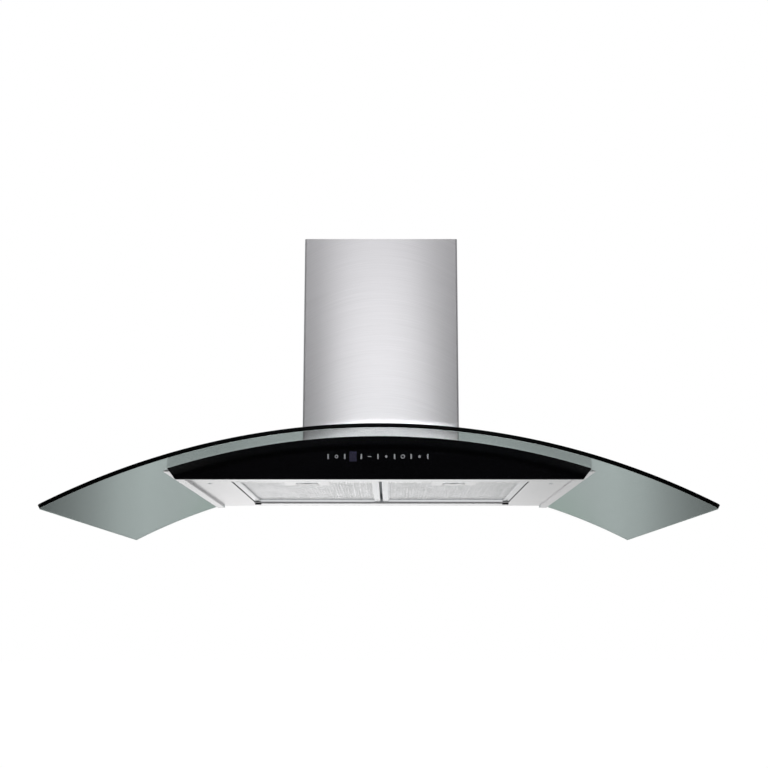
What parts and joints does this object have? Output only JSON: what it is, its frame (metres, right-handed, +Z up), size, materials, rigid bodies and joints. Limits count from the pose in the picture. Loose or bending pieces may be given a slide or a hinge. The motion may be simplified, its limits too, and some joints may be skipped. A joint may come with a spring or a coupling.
{
  "type": "built-in range hood",
  "caption": "Wall-mounted chimney range hood: curved tinted glass canopy, black touch panel, flat body with hinged mesh filters, centrifugal fan and telescopic chimney cover.",
  "frame": {"origin": "centre of the four wall holes, on the wall plane", "axes": "+Z up, +Y into the wall, -Y towards the cook, X along the hood's width"},
  "size_m": [0.9, 0.495, 0.4747],
  "materials": {
    "tinted_glass": "polished toughened glass with a grey-green tint and dark edges",
    "foam_tape": "black foam tape",
    "plated_screws": "nickel-plated",
    "black_rubber": "moulded rubber",
    "black_glass": "black back-painted glass, polished",
    "zinc_sheet": "zinc-plated sheet",
    "white_print": "white screen print",
    "display": "dim display window",
    "circuit_board": "green lacquered board",
    "black_plastic": "moulded, fine grain",
    "satin_steel": "satin stainless sheet",
    "steel_rod": "drawn steel rod",
    "white_plastic": "moulded, satin",
    "bezel_chrome": "satin chrome",
    "lamp_lens": "frosted diffuser",
    "cast_aluminium": "die cast",
    "motor_metal": "dark stoved paint",
    "brushed_stainless": "brushed stainless, fine grain",
    "filter_aluminium": "satin aluminium",
    "filter_mesh": "expanded aluminium mesh in layers",
    "grey_plastic": "moulded, fine grain"
  },
  "bodies": {
    "hood": {"glass_canopy": "tinted_glass", "glass_tape": "foam_tape", "glass_screws": "plated_screws", "glass_washers": "black_rubber", "front_panel": "black_glass", "front_panel_carrier": "zinc_sheet", "touch_symbols": "white_print", "display_window": "display", "touch_board": "circuit_board", "touch_board_holder": "black_plastic", "body_top": "satin_steel", "underside_panel": "satin_steel", "body_front_wall": "satin_steel", "body_rear_wall": "satin_steel", "centre_stiffener": "zinc_sheet", "filter_pivot_pins": "steel_rod", "power_box": "black_plastic", "lamp_driver": "white_plastic", "lamp_bezels": "bezel_chrome", "lamp_lens_left": "lamp_lens", "lamp_lens_right": "lamp_lens", "lamp_can_left": "cast_aluminium", "lamp_can_right": "cast_aluminium", "motor_box": "zinc_sheet", "motor_box_cover": "zinc_sheet", "motor_box_screws": "plated_screws", "scroll_wrap": "zinc_sheet", "scroll_side_left": "zinc_sheet", "scroll_side_right": "zinc_sheet", "inlet_ring_left": "black_plastic", "inlet_ring_right": "black_plastic", "motor": "motor_metal", "motor_bracket": "zinc_sheet", "capacitor": "white_plastic", "outlet_collar": "black_plastic", "collar_screws": "plated_screws", "damper_rod": "steel_rod", "terminal_box": "white_plastic", "terminal_box_lid": "white_plastic", "cable_gland": "black_plastic", "wall_bracket": "zinc_sheet", "wall_bracket_screws": "plated_screws", "chimney_lower": "brushed_stainless", "chimney_side_brackets": "zinc_sheet", "chimney_screws": "plated_screws"},
    "upper_chimney": {"chimney_upper": "brushed_stainless", "chimney_top_bracket": "zinc_sheet", "top_bracket_screws": "plated_screws"},
    "fan": {"impeller": "white_plastic", "motor_shaft": "steel_rod"},
    "damper_front": {"damper_flap_front": "black_plastic"},
    "damper_rear": {"damper_flap_rear": "black_plastic"},
    "filter_left": {"filter_left_frame": "filter_aluminium", "filter_left_mesh": "filter_mesh", "filter_left_latch_plate": "filter_aluminium"},
    "latch_left": {"filter_left_latch": "grey_plastic"},
    "filter_right": {"filter_right_frame": "filter_aluminium", "filter_right_mesh": "filter_mesh", "filter_right_latch_plate": "filter_aluminium"},
    "latch_right": {"filter_right_latch": "grey_plastic"}
  },
  "joints": [
    {"name": "upper_chimney_slide", "type": "slide", "parent": "hood", "child": "upper_chimney", "axis": [0, 0, 1], "range_m": [0, 0.3]},
    {"name": "fan_spin", "type": "hinge", "parent": "hood", "child": "fan", "pos_m": [0, -0.117, -0.012], "axis": [1, 0, 0], "continuous": true},
    {"name": "damper_front_hinge", "type": "hinge", "parent": "hood", "child": "damper_front", "pos_m": [0, -0.102, 0.094], "axis": [1, 0, 0], "range_deg": [-75, 0]},
    {"name": "damper_rear_hinge", "type": "hinge", "parent": "hood", "child": "damper_rear", "pos_m": [0, -0.102, 0.094], "axis": [1, 0, 0], "range_deg": [0, 75]},
    {"name": "filter_left_hinge", "type": "hinge", "parent": "hood", "child": "filter_left", "pos_m": [-0.11325, -0.0565, -0.147], "axis": [1, 0, 0], "range_deg": [0, 75]},
    {"name": "filter_right_hinge", "type": "hinge", "parent": "hood", "child": "filter_right", "pos_m": [0.11325, -0.0565, -0.147], "axis": [1, 0, 0], "range_deg": [0, 75]},
    {"name": "latch_left_slide", "type": "slide", "parent": "filter_left", "child": "latch_left", "axis": [0, 1, 0], "range_m": [0, 0.006], "stiffness_N_per_m": 150, "springref_m": -0.002},
    {"name": "latch_right_slide", "type": "slide", "parent": "filter_right", "child": "latch_right", "axis": [0, 1, 0], "range_m": [0, 0.006], "stiffness_N_per_m": 150, "springref_m": -0.002}
  ]
}
